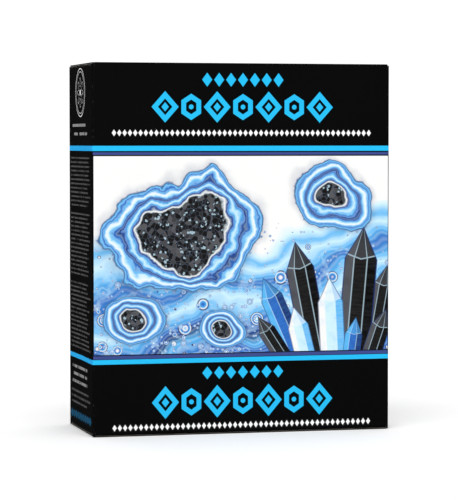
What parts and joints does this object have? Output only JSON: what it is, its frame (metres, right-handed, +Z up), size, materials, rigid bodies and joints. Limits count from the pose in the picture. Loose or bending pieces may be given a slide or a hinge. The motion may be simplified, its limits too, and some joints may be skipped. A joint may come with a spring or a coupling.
{
  "type": "printed paperboard folding carton",
  "caption": "Upright paperboard folding carton with a creased tuck lid on top, dust flaps under it and a glued flap bottom, printed black with a picture panel.",
  "frame": {"origin": "middle of the underside, on the surface the carton stands on", "axes": "+Z up the carton's height, +X to the right along its width seen from the front, +Y from the front wall to the back wall"},
  "size_m": [0.12, 0.048, 0.145],
  "materials": {
    "printed_board": "satin",
    "printed_board_lid": "satin",
    "plain_board": "matte"
  },
  "bodies": {
    "carton": {"wall_sleeve": "printed_board", "bottom_left_flap": "plain_board", "bottom_right_flap": "plain_board", "bottom_inner_flap": "plain_board", "bottom_outer_flap": "printed_board_lid"},
    "lid": {"tuck_lid": "printed_board_lid"},
    "left_flap": {"left_dust_flap": "plain_board"},
    "right_flap": {"right_dust_flap": "plain_board"}
  },
  "joints": [
    {"name": "lid_crease", "type": "hinge", "parent": "carton", "child": "lid", "pos_m": [0, 0.02295, 0.145], "axis": [-1, 0, 0], "range_deg": [0, 160]},
    {"name": "left_flap_crease", "type": "hinge", "parent": "carton", "child": "left_flap", "pos_m": [-0.0588, 0, 0.1437], "axis": [0, 1, 0], "range_deg": [0, 85]},
    {"name": "right_flap_crease", "type": "hinge", "parent": "carton", "child": "right_flap", "pos_m": [0.0588, 0, 0.1437], "axis": [0, -1, 0], "range_deg": [0, 85]}
  ]
}
